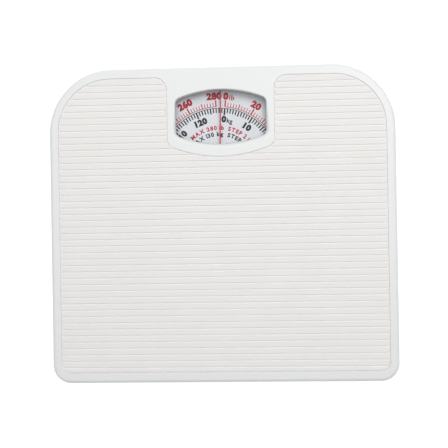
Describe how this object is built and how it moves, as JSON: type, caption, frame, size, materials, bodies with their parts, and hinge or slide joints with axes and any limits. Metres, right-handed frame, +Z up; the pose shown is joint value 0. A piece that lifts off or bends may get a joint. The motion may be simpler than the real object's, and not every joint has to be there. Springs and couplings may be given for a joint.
{
  "type": "mechanical bathroom scale",
  "caption": "Flat platform scale with a ribbed mat and a dial behind a small window; levers under the platform pull a spring and turn the dial.",
  "frame": {"origin": "on the floor under the middle of the platform", "axes": "+Z up, +Y towards the dial end, +X to the right of someone who reads the dial"},
  "size_m": [0.2676, 0.2434, 0.048],
  "materials": {
    "white_enamel": "glossy white baked enamel",
    "mat_vinyl": "matt off-white ribbed vinyl",
    "clear_plastic": "clear polished",
    "red_ink": "matt red",
    "dial_card": "matt cool white, printed",
    "white_plastic": "satin white",
    "brass": "satin brass",
    "spring_steel": "bright drawn steel",
    "grey_rubber": "matt grey rubber",
    "zinc_steel": "dull zinc plate"
  },
  "bodies": {
    "base": {"base_tray": "white_enamel", "foot_front_left": "grey_rubber", "foot_back_left": "grey_rubber", "foot_front_right": "grey_rubber", "foot_back_right": "grey_rubber", "fulcrum_bracket_front_left": "zinc_steel", "fulcrum_bracket_back_left": "zinc_steel", "fulcrum_bracket_front_right": "zinc_steel", "fulcrum_bracket_back_right": "zinc_steel", "fulcrum_pin_front_left": "spring_steel", "fulcrum_pin_back_left": "spring_steel", "fulcrum_pin_front_right": "spring_steel", "fulcrum_pin_back_right": "spring_steel", "dial_bridge": "zinc_steel", "bridge_screw_left": "spring_steel", "bridge_screw_right": "spring_steel", "shaft_bush": "brass", "rack_guide": "zinc_steel", "crank_bracket": "zinc_steel", "crank_pin": "spring_steel", "crank_return_spring": "spring_steel", "knob_bracket": "zinc_steel", "spring_hanger": "zinc_steel", "main_spring": "spring_steel", "hold_down_spring_left": "spring_steel", "hold_down_spring_right": "spring_steel"},
    "platform": {"top_cover": "white_enamel", "anti_slip_mat": "mat_vinyl", "window_lens": "clear_plastic", "lens_retainer": "zinc_steel", "hairline": "red_ink", "retainer_screw_left": "spring_steel", "retainer_screw_right": "spring_steel", "load_post_front_left": "zinc_steel", "load_post_back_left": "zinc_steel", "load_post_front_right": "zinc_steel", "load_post_back_right": "zinc_steel"},
    "dial": {"dial_disc": "dial_card", "dial_hub": "white_plastic", "dial_cap": "white_plastic", "dial_shaft": "spring_steel", "pinion": "brass"},
    "rack": {"rack": "brass"},
    "bell_crank": {"bell_crank": "zinc_steel"},
    "yoke": {"spring_yoke": "zinc_steel"},
    "long_lever_left": {"long_lever_left": "zinc_steel"},
    "long_lever_right": {"long_lever_right": "zinc_steel"},
    "short_lever_left": {"short_lever_left": "zinc_steel"},
    "short_lever_right": {"short_lever_right": "zinc_steel"},
    "zero_knob": {"zero_knob": "white_plastic"}
  },
  "joints": [
    {"name": "platform_drop", "type": "slide", "parent": "base", "child": "platform", "axis": [0, 0, -1], "range_m": [0, 0.00097634], "stiffness_N_per_m": 1306200, "springref_m": -0.00001, "deforming": ["hold_down_spring_left", "hold_down_spring_right"]},
    {"name": "dial_turn", "type": "hinge", "parent": "base", "child": "dial", "pos_m": [-0.002, 0.0435, 0.03], "axis": [0, 0, 1], "range_deg": [0, 364.73]},
    {"name": "rack_slide", "type": "slide", "parent": "base", "child": "rack", "axis": [0, 1, 0], "range_m": [0, 0.01591]},
    {"name": "crank_turn", "type": "hinge", "parent": "base", "child": "bell_crank", "pos_m": [0.00332, 0.07359, 0.015], "axis": [-1, 0, 0], "range_deg": [0, 63.76]},
    {"name": "yoke_drop", "type": "slide", "parent": "base", "child": "yoke", "axis": [0, 0, -1], "range_m": [0, 0.01002], "deforming": ["main_spring"]},
    {"name": "long_lever_left_tilt", "type": "hinge", "parent": "base", "child": "long_lever_left", "pos_m": [-0.105, -0.095, 0.0213], "axis": [-0.891, 0.454, 0], "range_deg": [0, 2.8]},
    {"name": "short_lever_left_tilt", "type": "hinge", "parent": "base", "child": "short_lever_left", "pos_m": [-0.105, 0.088, 0.0213], "axis": [0.891, 0.454, 0], "range_deg": [0, 2.8]},
    {"name": "long_lever_right_tilt", "type": "hinge", "parent": "base", "child": "long_lever_right", "pos_m": [0.105, -0.095, 0.0213], "axis": [-0.891, -0.454, 0], "range_deg": [0, 2.8]},
    {"name": "short_lever_right_tilt", "type": "hinge", "parent": "base", "child": "short_lever_right", "pos_m": [0.105, 0.088, 0.0213], "axis": [0.891, -0.454, 0], "range_deg": [0, 2.8]},
    {"name": "zero_knob_turn", "type": "hinge", "parent": "base", "child": "zero_knob", "pos_m": [0, 0.11075, 0.015], "axis": [0, 0, 1], "range_deg": [-540, 540]}
  ],
  "couplings": [
    {"joint": "dial_turn", "follows": "platform_drop", "rad_per_m": 6507},
    {"joint": "rack_slide", "follows": "platform_drop", "ratio": 16.267},
    {"joint": "crank_turn", "follows": "platform_drop", "rad_per_m": 1137.5},
    {"joint": "yoke_drop", "follows": "platform_drop", "ratio": 10.242},
    {"joint": "long_lever_left_tilt", "follows": "platform_drop", "rad_per_m": 50},
    {"joint": "short_lever_left_tilt", "follows": "platform_drop", "rad_per_m": 50},
    {"joint": "long_lever_right_tilt", "follows": "platform_drop", "rad_per_m": 50},
    {"joint": "short_lever_right_tilt", "follows": "platform_drop", "rad_per_m": 50}
  ]
}
